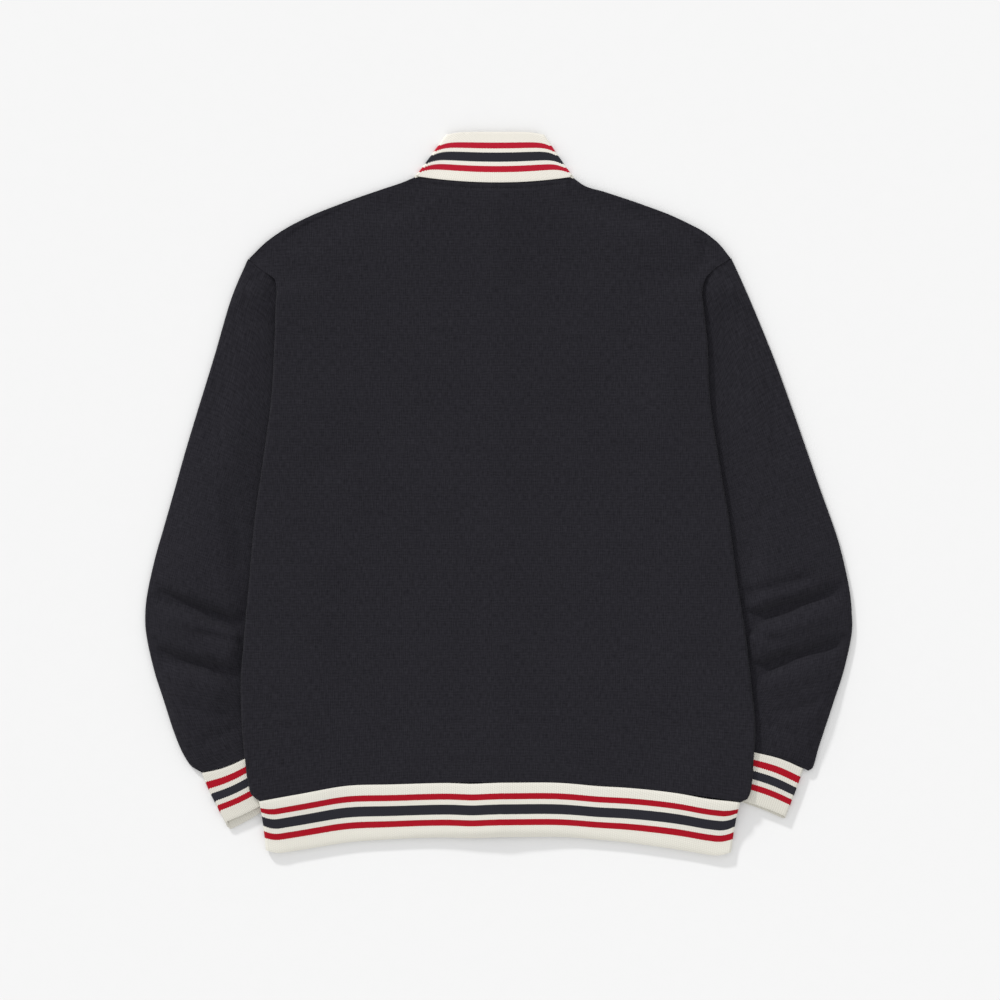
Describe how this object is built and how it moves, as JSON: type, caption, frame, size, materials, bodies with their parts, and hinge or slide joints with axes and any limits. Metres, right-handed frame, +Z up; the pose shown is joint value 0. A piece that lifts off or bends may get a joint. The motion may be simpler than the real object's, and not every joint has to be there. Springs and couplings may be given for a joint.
{
  "type": "track jacket",
  "caption": "Long-sleeved knit track jacket with a ribbed striped stand collar, cuffs and hem and a front zip, lying flat on its front with its back up.",
  "frame": {"origin": "on the surface the jacket lies on, under the middle of its bounding box", "axes": "+Z up from the surface, out of the back; +Y from the hem to the collar; the wearer's left is at -X"},
  "size_m": [0.7414, 0.7557, 0.0106],
  "materials": {
    "body_knit": "matt dark navy double knit with a fine two-way grain",
    "rib_knit": "matt cream rib with one navy stripe between two red ones",
    "zip_tape": "matt woven tape",
    "zip_metal": "satin metal"
  },
  "bodies": {
    "jacket": {"back_panel": "body_knit", "front_left": "body_knit", "front_right": "body_knit", "sleeve_left": "body_knit", "sleeve_right": "body_knit", "cuff_left": "rib_knit", "cuff_right": "rib_knit", "hem_rib": "rib_knit", "collar": "rib_knit", "zip_tape_left": "zip_tape", "zip_tape_right": "zip_tape", "zip_slider": "zip_metal", "zip_box": "zip_metal"},
    "pull": {"zip_pull": "zip_metal"}
  },
  "joints": [
    {"name": "pull_flip", "type": "hinge", "parent": "jacket", "child": "pull", "pos_m": [0, 0.28895, 0.00205], "axis": [1, 0, 0], "range_deg": [0, 170]}
  ]
}
